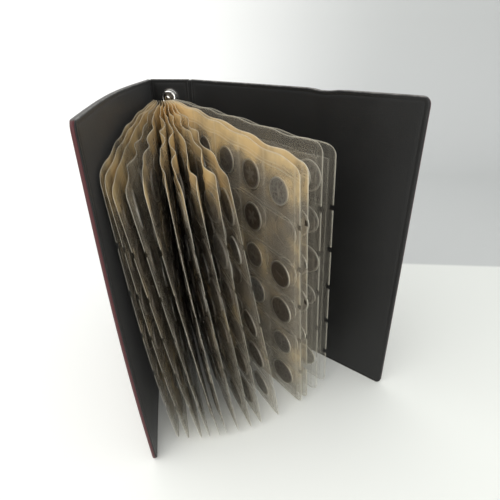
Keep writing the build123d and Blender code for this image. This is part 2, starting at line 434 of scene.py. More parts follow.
@kept("node_groups")
def wear_and_highlight_group(name):
    """Rubbing and a painted edge highlight: where the edge mask and a broken noise meet, the worn
    colour, a pale grey for both the wear and the light that the rounded edge catches, shows and
    the surface turns duller; a second, slower noise mottles the rest."""
    inputs = {
        "Vector": (0, 0, 0),
        "Colour": (0.1, 0.1, 0.1, 1),
        "Worn And Highlight Colour": (0.3, 0.3, 0.3, 1),
        "Edge": 0.0,
        "Amount": 0.5,
        "Mottle": 0.2,
        "Roughness": 0.5,
    }
    group, put, end = new_group(name, inputs, ("Colour", "Roughness"))
    broken = noise_node(group, put["Vector"], 140.0, 5.0, 0.65)
    slow = noise_node(group, put["Vector"], 14.0, 4.0, 0.6)
    reach = times(group, put["Edge"], put["Amount"])
    cut = plus(group, reach, less(group, broken, 0.72))
    mask = ramp_node(group, cut, 0.0, 0.55)
    lighter = mix_node(group, 0.35, put["Colour"], put["Worn And Highlight Colour"])
    patch = times(group, ramp_node(group, slow, 0.42, 0.75), put["Mottle"])
    mottled = mix_node(group, patch, put["Colour"], lighter)
    dull = times(group, mask, 0.18)
    swing = times(group, less(group, slow, 0.5), 0.22)
    total = plus(group, put["Roughness"], plus(group, dull, swing))
    worn_and_lit = mix_node(group, mask, mottled, put["Worn And Highlight Colour"])
    fill(end, {"Colour": worn_and_lit, "Roughness": total})
    return group


@kept("node_groups")
def grain_group(name):
    """Pressed grain: fine cells of a Voronoi pattern over a slower noise, as one height."""
    inputs = {"Vector": (0, 0, 0), "Scale": 900.0, "Softness": 0.5}
    group, put, end = new_group(name, inputs, ("Height",))
    cells = group.nodes.new("ShaderNodeTexVoronoi")
    cells.feature = "SMOOTH_F1"
    fill(cells, {"Vector": put["Vector"], "Scale": put["Scale"]})
    slow = noise_node(group, put["Vector"], 55.0, 3.0)
    height = plus(group, cells.outputs["Distance"], times(group, slow, put["Softness"]))
    fill(end, {"Height": height})
    return group


@kept("node_groups")
def film_group(name):
    """Aged clear film.  The leaf map counts pockets, so whole numbers are the welds: the distance
    to the nearest whole number, in pockets, gives thin welded lines across and up the leaf.  An
    amber mask from the mesh is broken up by noise, and a haze mask fades it.  Both set the colour
    and add to the cover, and where the film is pressed on a coin or thin the cover is less."""
    inputs = {
        "Map": (0, 0, 0),
        "Vector": (0, 0, 0),
        "Amber": 0.5,
        "Haze": 0.0,
        "Rim": 0.0,
        "Press": 0.0,
        "Weld": 1.0,
        "Cover": 0.45,
        "Amber Colour": (0.5, 0.3, 0.1, 1),
        "Olive Colour": (0.3, 0.25, 0.15, 1),
        "Clear Colour": (0.5, 0.5, 0.5, 1),
    }
    group, put, end = new_group(name, inputs, ("Colour", "Alpha", "Roughness", "Height"))

    def lines(socket, width, offset=0.0):
        """1 on a line where the value plus the offset is whole, 0 beyond its width."""
        part = math_node(group, "FRACT", plus(group, socket, 0.5 + offset))
        from_line = math_node(group, "ABSOLUTE", less(group, part, 0.5))
        return less(group, 1.0, ramp_node(group, from_line, width * 0.55, width))

    counted = parted(group, put["Map"])
    upright = lines(counted[0], 0.040)
    weld_line = lines(counted[1], 0.016, -0.035)
    mouth_line = lines(counted[1], 0.012, 0.030)
    level = larger(group, weld_line, mouth_line)
    weld = times(group, larger(group, times(group, upright, 0.7), level), put["Weld"])
    blotch = noise_node(group, put["Vector"], 30.0, 3.5, 0.55)
    crease = noise_node(group, stretched(group, put["Vector"], 0.3), 48.0, 2.0, 0.5)
    swing = times(group, less(group, blotch, 0.5), 1.9)
    amber = ramp_node(group, plus(group, put["Amber"], swing), 0.10, 0.95)
    body = mix_node(group, amber, put["Olive Colour"], put["Amber Colour"])
    body = mix_node(group, put["Haze"], body, put["Clear Colour"])
    dirt = times(group, ramp_node(group, crease, 0.48, 0.74), 0.42)
    body = mix_node(group, dirt, body, (0.085, 0.058, 0.034))
    shine = larger(group, times(group, weld, 0.55), put["Rim"])
    pale = mix_node(group, 0.75, body, put["Clear Colour"])
    cover = put["Cover"]
    for mask, share in ((amber, 0.26), (dirt, 0.10), (put["Haze"], 0.09), (weld, 0.16)):
        cover = plus(group, cover, times(group, mask, share))
    cover = times(group, cover, less(group, 1.0, times(group, put["Press"], 0.84)))
    cover = plus(group, cover, times(group, put["Rim"], 0.45), clamp=True)
    rough = plus(group, 0.22, times(group, blotch, 0.16))
    height = plus(group, times(group, crease, 0.8), times(group, weld, 0.5))
    colour = mix_node(group, shine, body, pale)
    fill(end, {"Colour": colour, "Alpha": cover, "Roughness": rough, "Height": height})
    return group


def new_material(name):
    """A material with its shader, its Object coordinates and a Bump node wired to the Normal."""
    material = bpy.data.materials.new(name)
    material.use_nodes = True
    tree = material.node_tree
    shader = tree.nodes["Principled BSDF"]
    place = tree.nodes.new("ShaderNodeTexCoord").outputs["Object"]
    bump = tree.nodes.new("ShaderNodeBump")
    fill(shader, {"Normal": bump.outputs["Normal"]})
    return material, tree, shader, place, bump


def use_group(tree, group, values):
    """Places a node group with its inputs filled; returns its outputs."""
    node = tree.nodes.new("ShaderNodeGroup")
    node.node_tree = group
    fill(node, values)
    return node.outputs


def mesh_value(tree, name):
    """A value that the mesh carries."""
    node = tree.nodes.new("ShaderNodeAttribute")
    node.attribute_name = name
    return node.outputs["Fac"]


@kept("materials")
def vinyl(name, colour, worn_and_lit, rough, amount, mottle):
    """Calendered vinyl: fine pressed grain, rubbed pale along the welded edges, where the pale
    grey is also a painted highlight.
    """
    material, tree, shader, place, bump = new_material(name)
    rubbing_and_highlight = {
        "Vector": place,
        "Edge": mesh_value(tree, "rim"),
        "Colour": (*colour, 1),
        "Worn And Highlight Colour": (*worn_and_lit, 1),
        "Amount": amount,
        "Mottle": mottle,
        "Roughness": rough,
    }
    wear_and_highlight = use_group(tree, wear_and_highlight_group("Rubbed wear"), rubbing_and_highlight)
    pattern = {"Vector": place, "Scale": 1100.0, "Softness": 2.2}
    grain = use_group(tree, grain_group("Pressed grain"), pattern)
    look = {
        "Base Color": wear_and_highlight["Colour"],
        "Roughness": wear_and_highlight["Roughness"],
        "Specular IOR Level": 0.31,
        "Sheen Weight": 0.06,
        "Sheen Roughness": 0.5,
    }
    fill(shader, look)
    fill(bump, {"Height": grain["Height"], "Strength": 0.35, "Distance": 0.0002})
    return material


@kept("materials")
def plated_metal(name, colour, tarnish, rough, brushed):
    """Plated steel: a metal colour that clouds towards a tarnish, with fine drawn lines along the
    rail's height where it is brushed."""
    material, tree, shader, place, bump = new_material(name)
    cloud = noise_node(tree, place, 60.0, 5.0, 0.6)
    share = ramp_node(tree, cloud, 0.45, 0.78)
    lines = noise_node(tree, stretched(tree, place, 0.03), 2600.0, 3.0, 0.6)
    dull = plus(tree, times(tree, share, 0.16), times(tree, lines, brushed))
    tone = mix_node(tree, share, colour, tarnish)
    fill(shader, {"Metallic": 1.0, "Base Color": tone, "Roughness": plus(tree, dull, rough)})
    fill(bump, {"Height": lines, "Strength": 0.15 * (1 + brushed), "Distance": 0.00005})
    return material


@kept("materials")
def shaded_hollow_metal(name):
    """Chrome with painted shade: dark and dull in its hollows, standing for the shadowed eye of
    the pressing and the dark cover it reflects.
    """
    material, tree, shader, place, bump = new_material(name)
    shaded_hollow = mesh_value(tree, "shaded_hollow")
    cloud = noise_node(tree, place, 300.0, 4.0)
    # painted shade: near-black where the hollow mask is set
    tone = mix_node(tree, shaded_hollow, (0.72, 0.70, 0.66), (0.035, 0.030, 0.024))
    dull = plus(tree, times(tree, shaded_hollow, 0.32), times(tree, cloud, 0.10))
    fill(shader, {"Metallic": 0.95, "Base Color": tone, "Roughness": plus(tree, dull, 0.06)})
    fill(bump, {"Height": cloud, "Strength": 0.1, "Distance": 0.0001})
    return material


@kept("materials")
def film_material(name, settings, cover, weld):
    """Soft clear film: the aged-film group drives colour, cover, gloss and fine creases."""
    material, tree, shader, place, bump = new_material(name)
    flat = tree.nodes.new("ShaderNodeUVMap")
    flat.uv_map = "leaf_map"
    film = {
        "Map": flat.outputs["UV"],
        "Vector": place,
        "Amber": mesh_value(tree, "amber"),
        "Haze": mesh_value(tree, "haze"),
        "Rim": mesh_value(tree, "rim"),
        "Press": mesh_value(tree, "press"),
        "Weld": weld,
        "Cover": cover,
        "Amber Colour": (*settings.amber, 1),
        "Olive Colour": (*settings.olive, 1),
        "Clear Colour": (*settings.clear, 1),
    }
    aged = use_group(tree, film_group("Aged film"), film)
    look = {
        "Base Color": aged["Colour"],
        "Alpha": aged["Alpha"],
        "Roughness": aged["Roughness"],
        "IOR": 1.53,
    }
    fill(shader, look)
    fill(bump, {"Height": aged["Height"], "Strength": 0.3, "Distance": 0.0007})
    return material


@kept("materials")
def coin_material(name, settings):
    """Struck coin metal: each coin carries its own mix of bronze and silver, the hollows of its
    relief are darker than the high parts, its highest parts are rubbed bare and pale, and its edge
    is painted pale as a highlight, most on the last leaves."""
    material, tree, shader, place, bump = new_material(name)
    alloy = mesh_value(tree, "alloy")
    metal = mix_node(tree, alloy, tuple(settings.bronze), tuple(settings.silver))
    high = mesh_value(tree, "struck")
    proud = math_node(tree, "POWER", high, 5.0)
    # rubbed bare high relief and a painted highlight on the edges: both are mixed towards this
    # pale metal
    metal = mix_node(tree, times(tree, proud, 0.85), metal, (0.90, 0.86, 0.74))
    spots = noise_node(tree, place, 420.0, 4.0, 0.6)
    grime = less(tree, ramp_node(tree, spots, 0.40, 0.72), high, clamp=True)
    look = {
        "Base Color": mix_node(tree, times(tree, grime, 0.75), metal, (0.020, 0.015, 0.011)),
        "Metallic": plus(tree, times(tree, proud, 0.55), 0.35),
        "Roughness": plus(tree, 0.34, times(tree, grime, 0.30)),
        "Specular IOR Level": 0.3,
    }
    fill(shader, look)
    fill(bump, {"Height": spots, "Strength": 0.25, "Distance": 0.0001})
    return material


# ---------------------------------------------------------------- case
# Depths of the grid lines beside a panel's edge, in millimetres, and how far each cover's heading
# is turned at its bottom and its top, in degrees.
FINE = (0.0, 0.12, 0.4, 0.8, 1.25, 1.8, 2.4, 3.0, 3.6, 4.6, 6.5)
COVER_TWIST = {"front": (0.9, -0.6), "back": (1.5, -2.0)}


def cover_place(side, case, along, up, out):
    """Points on a cover: along the cover's heading from its hinge axis, up, and out of its middle
    plane towards the leaves.  The heading twists evenly with height, and the cover bellies
    outwards as a half sine wave across and up it."""
    front = side == "front"
    hinge = pivot(side + "_cover_hinge")
    lean = node_lean(side + "_cover_board", BOARD)
    low_lean, high_lean = COVER_TWIST[side]
    height, reach = case.height / MM, case.reach / MM
    share = up / height
    direction, left = heading(lean + low_lean + (high_lean - low_lean) * share)
    inner = -left if front else left
    bow = (case.front_bow if front else case.back_bow) / MM
    across = np.sin(np.pi * np.clip(along / reach, 0, 1))
    belly = bow * (across + 0.35 * np.sin(np.pi * np.clip(share, 0, 1)) * along / reach)
    belly = belly + 0.25 * np.sin(along / 31.0 + share * 5) * soft_step(along / 40)
    if not front:
        dent = np.exp(-(((along - 158) / 9) ** 2)) * np.exp(-(((height - up) / 26) ** 2))
        belly = belly - 1.6 * dent
        up = up - 1.3 * dent * soft_step((up - height + 20) / 20)
    place = hinge + direction * along[..., None] + inner * (out - belly)[..., None]
    place[..., 2] = up
    return place


def panel_piece(name, place, width, case, inset, low, high, round_edge, materials, spine=False):
    """A panel of the case.  Its edges are quarter rounds: at a distance e from the edge the
    surface is drawn to the middle by 1 - sqrt(1 - (1 - e/r)^2).  A welded groove runs three
    millimetres inside the edge on the face that looks at the leaves."""
    height = case.height / MM - 2 * inset
    length = width - (2 if spine else 1) * inset
    lines_along = edge_lines(length, FINE, 7.0)
    lines_up = edge_lines(height, FINE, 7.5)
    along, up = np.meshgrid(lines_along, lines_up, indexing="ij")
    edge = np.minimum(np.minimum(along, length - along), np.minimum(up, height - up))
    corner = max(case.corner / MM - inset, 1.0)
    to_worn_lit_edge = np.minimum(up, height - up)
    if not spine:
        along = rounded(along, up, length, height, corner)
    curve = 1 - np.sqrt(1 - (1 - np.clip(edge / round_edge, 0, 1)) ** 2)
    middle = (low + high) / 2
    groove = 0.22 * np.exp(-(((edge - 3.1) / 0.6) ** 2))
    puff = 0.35 * soft_step(edge / 22)
    face = high - (high - middle) * curve + (puff - groove if high > 1 else 0)
    back = low + (middle - low) * curve - (puff if low < -1 else 0)
    along = along + (inset if spine else 0)
    # the top and bottom rims get the rubbed grey, which is wear and painted highlight
    rim = both(np.clip(1 - to_worn_lit_edge / 1.5, 0, 1)) * (1.0 if high > 1 else 1.5)
    sides = place(along, up + inset, face), place(along, up + inset, back)
    return make_shell(name, *sides, materials, values={"rim": rim})


class ALBUM_OT_case(bpy.types.Operator):
    """Builds the covers, the spine and the soft hinges between them"""

    bl_idname = "album.case"
    bl_label = "Build case"

    def execute(self, context):
        case = context.scene.album_case
        # rubbed grey of the edges: wear and painted highlight
        rubbed_and_lit_red = (0.10, 0.095, 0.09)
        outside, inside = tuple(case.outer_colour), tuple(case.inner_colour)
        red = vinyl("Dark red vinyl", outside, rubbed_and_lit_red, 0.45, 0.75, 0.12)
        rubbed_and_lit_black = tuple(case.worn_and_lit_colour)
        black = vinyl("Black lining vinyl", inside, rubbed_and_lit_black, 0.46, 0.62, 0.04)
        half = case.half_thickness / MM
        start = case.start / MM
        reach = case.reach / MM
        for side in ("front", "back"):
            body = side + "_cover"

            def place(along, up, out, side=side):
                return cover_place(side, case, along + start, up, out)

            split = 0.9 if side == "front" else -0.5
            outer = panel_piece(
                side + "_cover_vinyl", place, reach - start, case, 0.0, -half, split, 1.0, [red]
            )
            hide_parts(body + "_outer_skin")

            def lined(along, up, out, side=side):
                return cover_place(side, case, along + start + 0.5, up, out)

            inset, low = (0.3, 0.2) if side == "front" else (-0.05, -1.1)
            width = reach - start - 0.5
            inner = panel_piece(
                side + "_cover_liner", lined, width, case, inset, low, half, 0.9, [black]
            )
            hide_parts(body + "_lining", body + "_board")
            for piece in (outer, inner):
                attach(piece, body)
        self.spine(case, red, black, half, start)
        for side in ("front", "back"):
            self.hinge(side, case, red, black)
        return {"FINISHED"}

    def spine(self, case, red, black, half, start):
        """The spine panel: along X at the hinge axes' depth, its face towards -Y."""
        axis = pivot("back_cover_hinge")[0]

        def place(along, up, out):
            return np.stack([along - axis + start, -out, up], -1)

        width = 2 * (axis - start)
        outer = panel_piece("spine_vinyl", place, width, case, 0.0, -half, -0.5, 1.0, [red], True)
        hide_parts("spine_outer_skin")
        inner = panel_piece("spine_liner", place, width, case, 0.0, -1.1, half, 0.9, [black], True)
        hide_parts("spine_lining", "spine_board")
        for piece in (outer, inner):
            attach(piece, "spine")

    def hinge(self, side, case, red, black):
        """A soft vinyl hinge: a strip whose middle line is a quadratic curve from the spine, past
        the hinge axis, to the cover.  It is thinnest in the middle, and it is black on the side
        of the leaves and red outside."""
        axis = pivot(side + "_cover_hinge")
        height = case.height / MM
        lift = edge_lines(height - 0.6, (0, 0.3, 0.8, 1.6), 9.0) + 0.3
        share = np.linspace(0, 1, 17)
        share, up = np.meshgrid(share, lift, indexing="ij")
        grip = 4.4
        sign = 1.0 if side == "front" else -1.0
        first = axis + np.array([sign * grip, 0, 0])
        last = cover_place(side, case, np.full_like(up, grip), up, np.zeros_like(up))
        axis_line = np.stack([np.full_like(up, axis[0]), np.full_like(up, axis[1]), up], -1)
        first_line = np.stack([np.full_like(up, first[0]), np.full_like(up, first[1]), up], -1)
        s = share[..., None]
        line = (1 - s) ** 2 * first_line + 2 * s * (1 - s) * axis_line + s**2 * last
        slope = 2 * (1 - s) * (axis_line - first_line) + 2 * s * (last - axis_line)
        slope[..., 2] = 0
        slope /= np.linalg.norm(slope, axis=-1, keepdims=True)
        across = np.stack([-slope[..., 1], slope[..., 0], slope[..., 2]], -1)
        edge = np.minimum(up - 0.3, height - 0.3 - up)
        tip = np.sqrt(1 - (1 - np.clip(edge / 1.1, 0, 1)) ** 2)
        thick = (1.28 - 0.55 * np.sin(np.pi * share) ** 2) * (0.25 + 0.75 * tip)
        thick = thick + 0.05 * np.sin(up / 2.3) * np.sin(np.pi * share)
        points = two_sided(line + across * thick[..., None], line - across * thick[..., None])
        faces, kind = shell_faces(*up.shape)
        inside = 0 if side == "front" else 1
        # the rim values mark the hinge's ends for the rubbed grey, which is wear and painted
        # highlight
        piece = make_piece(
            side + "_hinge_vinyl",
            points,
            faces,
            [black, red],
            face_material=(kind != inside).astype(int),
            values={"rim": both(np.clip(1 - edge / 2.2, 0, 1))},
        )
        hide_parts(side + "_hinge_fold")
        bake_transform(piece)


# ---------------------------------------------------------------- ring mechanism
PRESSING_RADIUS = 7.9
PRESSING_RINGS = (0.03, 0.1, 0.18, 0.25, 0.29, 0.33, 0.45, 0.6, 0.72, 0.78, 0.84, 0.9, 0.96, 1.0)


class ALBUM_OT_rings(bpy.types.Operator):
    """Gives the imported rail, eyelets, blades and rings their plated finishes"""

    bl_idname = "album.rings"
    bl_label = "Finish rings"

    def execute(self, context):
        bright, aged = (0.62, 0.60, 0.56), (0.28, 0.24, 0.19)
        chrome = plated_metal("Bright chrome", bright, aged, 0.12, 0.05)
        zinc, dulled = (0.55, 0.54, 0.52), (0.30, 0.27, 0.23)
        steel = plated_metal("Zinc plated steel", zinc, dulled, 0.28, 0.2)
        finishes = {
            "ring_rail": chrome,
            "rail_eyelets": chrome,
            "left_half_rings": chrome,
            "right_half_rings": chrome,
            "left_blade": steel,
            "right_blade": steel,
        }
        for node, finish in finishes.items():
            mesh = frame["nodes"][node].data
            mesh.materials.clear()
            mesh.materials.append(finish)
        for name, sign in (("rail_top_pressing", 1.0), ("rail_low_pressing", -1.0)):
            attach(self.pressing(name, sign), "spine")
        return {"FINISHED"}

    def pressing(self, name, sign):
        """The pressed end of the rail: a bead round a hollow that is painted dark as shade, with a
        rivet head in its middle.
        The rail's skin is an arc across its width, turned about the end of its straight part:
        depth is sqrt(R^2 - r^2) - (R - rise), and the pressing follows it a little above."""
        low, high = RAIL_BOX
        half_width = (high[0] - low[0]) / 2
        rise = high[1] - low[1]
        radius = (half_width**2 + rise**2) / (2 * rise)
        end = high[2] - half_width if sign > 0 else low[2] + half_width
        round_it = np.linspace(0, 2 * np.pi, 49)
        share, angle = np.meshgrid(np.array(PRESSING_RINGS), round_it, indexing="ij")
        x = PRESSING_RADIUS * share * np.cos(angle)
        z = end + sign * (0.9 + 6.9 * share * np.sin(angle))
        beyond = np.clip(sign * (z - end), 0, None)
        reach = np.clip(np.hypot(x, beyond), 0, half_width)
        skin = high[1] - (np.sqrt(radius**2 - reach**2) - (radius - rise))
        rivet = 1.15 * np.sqrt(np.clip(1 - (share / 0.30) ** 2, 0, 1))
        bead = 1.05 * np.sqrt(np.clip(1 - ((share - 0.87) / 0.13) ** 2, 0, 1))
        stand = 0.10 + np.maximum(rivet, bead)
        face = np.stack([x, skin - stand, z], -1)
        back = np.stack([x, skin + 0.25, z], -1)
        # painted shade: marks the ring between the rivet and the bead, which is painted dark for
        # the pressing's shadowed eye
        shaded_hollow = soft_step((share - 0.28) / 0.06) * soft_step((0.79 - share) / 0.08)
        shaded_chrome = [shaded_hollow_metal("Pressed chrome")]
        piece = make_shell(name, face, back, shaded_chrome, values={"shaded_hollow": both(shaded_hollow)})
        return piece


# ---------------------------------------------------------------- leaves
# For each leaf: the heading's change in degrees at the top and bottom fore corners, the top
# corner's droop, its belly towards the front cover and the ripple's height in millimetres, the
# amber share and the haze share.
LEAF_HANG = (
    (-2.8, 3.6, 15, 5.5, 0.2, 0.42, 0.05),
    (-4.3, 3.9, 18, 5.2, 0.2, 0.50, 0.05),
    (-5.8, 4.7, 22, 4.5, 0.6, 0.45, 0.00),
    (-6.3, 4.2, 21, 3.0, 1.6, 0.00, 0.30),
    (-6.4, 3.8, 20, 2.0, 1.8, 0.42, 0.05),
    (-5.5, 2.4, 20, 1.0, 2.4, 0.55, 0.00),
    (-6.6, 2.1, 23, 0.5, 2.6, 0.62, 0.00),
    (-7.0, 2.0, 23, 0.0, 2.4, 0.60, 0.00),
    (-7.7, 0.8, 22, -1.0, 2.6, 0.62, 0.00),
    (-10.2, 1.1, 24, -1.5, 2.2, 0.52, 0.00),
    (-1.2, 3.4, 21, -2.0, 0.9, 0.56, 0.05),
    (-4.4, 0.5, 19, -1.0, 1.2, 0.60, 0.10),
    (-5.4, 0.0, 9, 0.0, 0.8, 0.02, 0.30),
    (-7.2, -1.5, 13, 0.5, 0.6, 0.00, 0.35),
)
# Millimetres: the rings' heights, how far the holes hang below them, a strip's height, half of a
# hole along and up, a notch's depth and half its height, the grid lines in a pocket, coin widths.
RING_LEVELS = (23.0, 93.0, 163.0, 233.0)
HOLE_DROP = 1.7
STRIP_HEIGHT = 38.2
HOLE_LONG, HOLE_HIGH = 6, 3
NOTCH_DEPTH, NOTCH_HALF = 3.5, 2.5
COLUMN_LINES = (0, 1.3, 2.4, 4.2, 7, 10.5, 14.2, 18, 21.8, 25.5, 29, 31.8, 33.6, 34.7)
ROW_LINES = (0, 0.9, 2, 4, 7, 10.5, 14, 18, 22, 26, 29.5, 33, 35.6, 37.3, STRIP_HEIGHT)
COIN_WIDTHS = (25.0, 23.2, 26.5, 21.4, 25.8, 24.2)


def coin_plan(number):
    """Column, row and diameter of each coin in a leaf.  The order in which pockets were filled
    counts 7 a leaf, 5 a row and 3 a column, and one pocket in six is empty."""
    plan = []
    for row in range(ROWS):
        for column in range(COLUMNS):
            order = number * 7 + row * 5 + column * 3
            if order % 6:
                plan.append((column, row, COIN_WIDTHS[(order + column) % 6]))
    return plan


class Leaf:
    """Where one hanging leaf lies: its hole line stays on the rings, and towards the fore edge it
    twists, droops and ripples.  Its clearness tells how strong a painted highlight its coins'
    edges carry and how clear the film is pressed on them, and thin is the share of cover its film
    has lost everywhere."""

    def __init__(self, number, body, settings):
        self.number = number
        self.body = body
        self.hinge = pivot(body + "_turn")
        lean = node_lean(body + "_back_sheet", settings.film / MM)
        self.direction, self.left = heading(np.array(lean))
        hang = LEAF_HANG[number]
        self.twist_top, self.twist_low, self.droop, self.belly, self.ripple = hang[:5]
        self.amber, self.haze = hang[5:]
        self.sag = 5.0 - 0.32 * number
        self.low = settings.bottom / MM
        self.height = settings.height / MM
        self.reach = settings.outer / MM
        self.wave = hash_waves(400 + number, 8)
        self.clearness_and_glint = 1.0 if number > 9 else (0.6 if number == 9 else 0.15)
        self.thin = 0.90 if number > 11 else (0.35 if number == 3 else 0.0)

    def sideways(self, along, up):
        """Shift to the left of the heading: the twist passes from the bottom's to the top's with
        height, the sheet bellies as a half sine wave, and ripples one and a half to two pockets
        long run along the top.  All of it fades out towards the rings."""
        high = np.clip((up - self.low) / self.height, 0, 1)
        out = np.clip(along / self.reach, 0, 1)
        free = soft_step((along - 6) / 75)
        change = self.twist_low + (self.twist_top - self.twist_low) * high**1.1
        twist = np.clip(along, 0, None) * np.tan(np.radians(-change))
        phase = 0.5 * self.number + 1.4 * self.wave[0]
        bend = along / (52.0 + 16 * self.wave[5]) + 0.25 * np.sin(along / 21.0 + 6 * self.wave[6])
        scallop = np.sin(2 * np.pi * bend + phase)
        second = np.sin(2 * np.pi * along / (29.0 + 9 * self.wave[7]) + 2.1 * phase + 1.3 * high)
        slow = np.sin(2 * np.pi * (along / 170.0 + up / 300.0) + phase * 0.6)
        lively = 0.04 + 0.96 * high**3.5
        ripple = self.ripple * free * lively * (0.78 * scallop + 0.30 * second)
        ripple += 0.30 * self.ripple * free * slow
        belly = self.belly * np.sin(np.pi * out) * (0.45 + 0.55 * high)
        sag = self.sag * np.sin(np.pi * high**0.75) * soft_step((along - 15) / 170)
        return twist * soft_step((along - 4) / 30) + ripple + belly + sag

    def lift(self, along, up):
        """Height of a point: the fore edge droops in step with height, its bottom corner sinks
        too, the top edge stands a little higher beside the rings, and it is slack between the
        pockets."""
        high = np.clip((up - self.low) / self.height, 0, 1)
        out = np.clip(along / self.reach, 0, 1)
        drop = self.droop * out**1.15 * high**1.4
        proud = 1.0 * high**9 * (1 - soft_step((out - 0.05) / 0.75))
        slack = 0.8 * np.sin(2 * np.pi * along / 41.0 + 4 * self.wave[1]) * high**8
        rest = 3.2 * out * (1 - high) ** 4
        return up - drop - rest + proud - slack * soft_step((along - 6) / 40)

    def base(self, along, up):
        """Points on the leaf's middle surface."""
        place = self.hinge + self.direction * along[..., None]
        place = place + self.left * self.sideways(along, up)[..., None]
        place[..., 2] = self.lift(along, up)
        return place

    def frame_at(self, along, up):
        """Point, normal on the left and unit vector along the leaf, from small differences."""
        step = 0.05
        here = self.base(along, up)
        over = self.base(along + step, up) - here
        above = self.base(along, up + step) - here
        normal = np.cross(over, above)
        normal /= np.linalg.norm(normal, axis=-1, keepdims=True)
        over /= np.linalg.norm(over, axis=-1, keepdims=True)
        return here, normal, over

    def shares(self, along, up):
        """Amber and haze of the film: amber gathers above the top coins, beside the rings and in
        the middle leaves, and haze lies along the bottom."""
        high = np.clip((up - self.low) / self.height, 0, 1)
        out = np.clip(along / self.reach, 0, 1)
        below = (1 - high) * self.height
        amber = 0.75 * np.exp(-((below / 21.0) ** 2)) + 0.55 * np.exp(-((along / 26.0) ** 2))
        amber = self.amber * (0.30 + 1.5 * amber)
        haze = self.haze + 0.85 * np.exp(-((high * self.height) / 48.0)) * (0.5 + 0.5 * out)
        return both(np.clip(amber, 0, 1)), both(np.clip(haze, 0, 1))


def leaf_map(along, up):
    """Leaf coordinates for both sides, counted in pockets: whole numbers are the welds."""
    counted = (along - POCKETS_IN) / COLUMN_PITCH, (up - POCKETS_LOW) / ROW_PITCH
    return np.tile(np.stack(counted, -1).reshape(-1, 2), (2, 1))


def over_coins(number, along, up, start, fall):
    """1 over a leaf's coins and 0 away from them: it falls over a distance that starts a little
    beyond their rims, or inside them where the start is negative."""
    over = np.zeros_like(along)
    for column, row, width in coin_plan(number):
        far = np.hypot(
            along - POCKETS_IN - COLUMN_PITCH * (column + 0.5),
            up - POCKETS_LOW - ROW_PITCH * row - COIN_RISE,
        )
        over = np.maximum(over, 1 - soft_step((far - width / 2 - start) / fall))
    return over


def back_sheet(leaf, settings, film):
    """The back film: one sheet with four punched ring holes, rounded corners and a row of small
    notches up its fore edge, all cut from one grid.  A hole's grid lines are drawn together at
    its ends by sqrt(r^2 - x^2), which rounds them."""
    inner, outer = -settings.inner / MM, settings.outer / MM
    low, top = leaf.low, leaf.low + leaf.height
    holes = [level - HOLE_DROP for level in RING_LEVELS]
    lines_along = [inner, inner + 0.6, inner + 2, -6, -5.5, -4.5, -3, 0, 3, 4.5, 5.5, 6, 7.5]
    lines_along += list(np.linspace(POCKETS_IN, outer - NOTCH_DEPTH, 49))
    lines_along += [outer - 1.6, outer - 0.4, outer]
    lines_up = [low, low + 0.4, low + 1.4, low + 3.2]
    lines_up += list(np.arange(low + 7, top - 6, 4.6))
    lines_up += [top - 5, top - 3.2, top - 1.4, top - 0.4, top]
    for level in holes:
        lines_up += [level - 3, level - 1.6, level, level + 1.6, level + 3]
    notches = [POCKETS_LOW + ROW_PITCH * row for row in range(1, ROWS)]
    for level in notches:
        lines_up += [level - NOTCH_HALF, level + NOTCH_HALF]
    lines_up = np.array(sorted(lines_up))
    special = np.array(
        [h + d for h in holes for d in (-3, -1.6, 0, 1.6, 3)]
        + [n + d for n in notches for d in (-NOTCH_HALF, NOTCH_HALF)]
    )
    apart = np.abs(lines_up[:, None] - special[None, :])
    own = (apart < 1e-6).any(1)
    crowded = ((apart < 1.2) & (apart > 1e-6)).any(1)
    lines_up = lines_up[own | ~crowded]
    lines_along = np.array(lines_along)
    along, up = np.meshgrid(lines_along, lines_up, indexing="ij")
    middle_along = (lines_along[1:] + lines_along[:-1]) / 2
    middle_up = (lines_up[1:] + lines_up[:-1]) / 2
    keep = np.ones((len(middle_along), len(middle_up)), bool)
    shaped = up.copy()
    for level in holes:
        inside = np.abs(middle_along) < HOLE_LONG
        keep &= ~(inside[:, None] & (np.abs(middle_up - level) < HOLE_HIGH)[None, :])
        straight = HOLE_LONG - HOLE_HIGH
        ends = np.clip((np.abs(along) - straight) / HOLE_HIGH, 0, 1)
        beside = np.abs(along) < HOLE_LONG + 0.01
        press = np.where(beside, np.maximum(np.sqrt(1 - ends**2), 0.3), 1.0)
        near = np.abs(up - level) < HOLE_HIGH + 0.01
        shaped = np.where(near, level + (up - level) * press, shaped)
    notched = middle_along > outer - NOTCH_DEPTH
    for level in notches:
        keep &= ~(notched[:, None] & (np.abs(middle_up - level) < NOTCH_HALF)[None, :])
    corner = 7.0
    flat = rounded(along - inner, shaped - low, outer - inner, leaf.height, corner, near=True)
    flat = flat + inner
    here, normal, _ = leaf.frame_at(flat, shaped)
    swell = over_coins(leaf.number, flat, shaped, -3, 7)
    here = here - normal * (0.28 * swell)[..., None]
    half = settings.film / MM / 2
    amber, haze = leaf.shares(flat, shaped)
    edge = np.minimum(np.minimum(along - inner, outer - along), np.minimum(up - low, top - up))
    rim = both(np.clip(1 - edge / 1.5, 0, 1))
    return make_shell(
        leaf.body + "_back_film",
        here + normal * half,
        here - normal * half,
        [film],
        keep=keep,
        corners=leaf_map(flat, shaped),
        values={"amber": amber, "haze": haze, "rim": rim, "press": np.full_like(rim, leaf.thin)},
    )


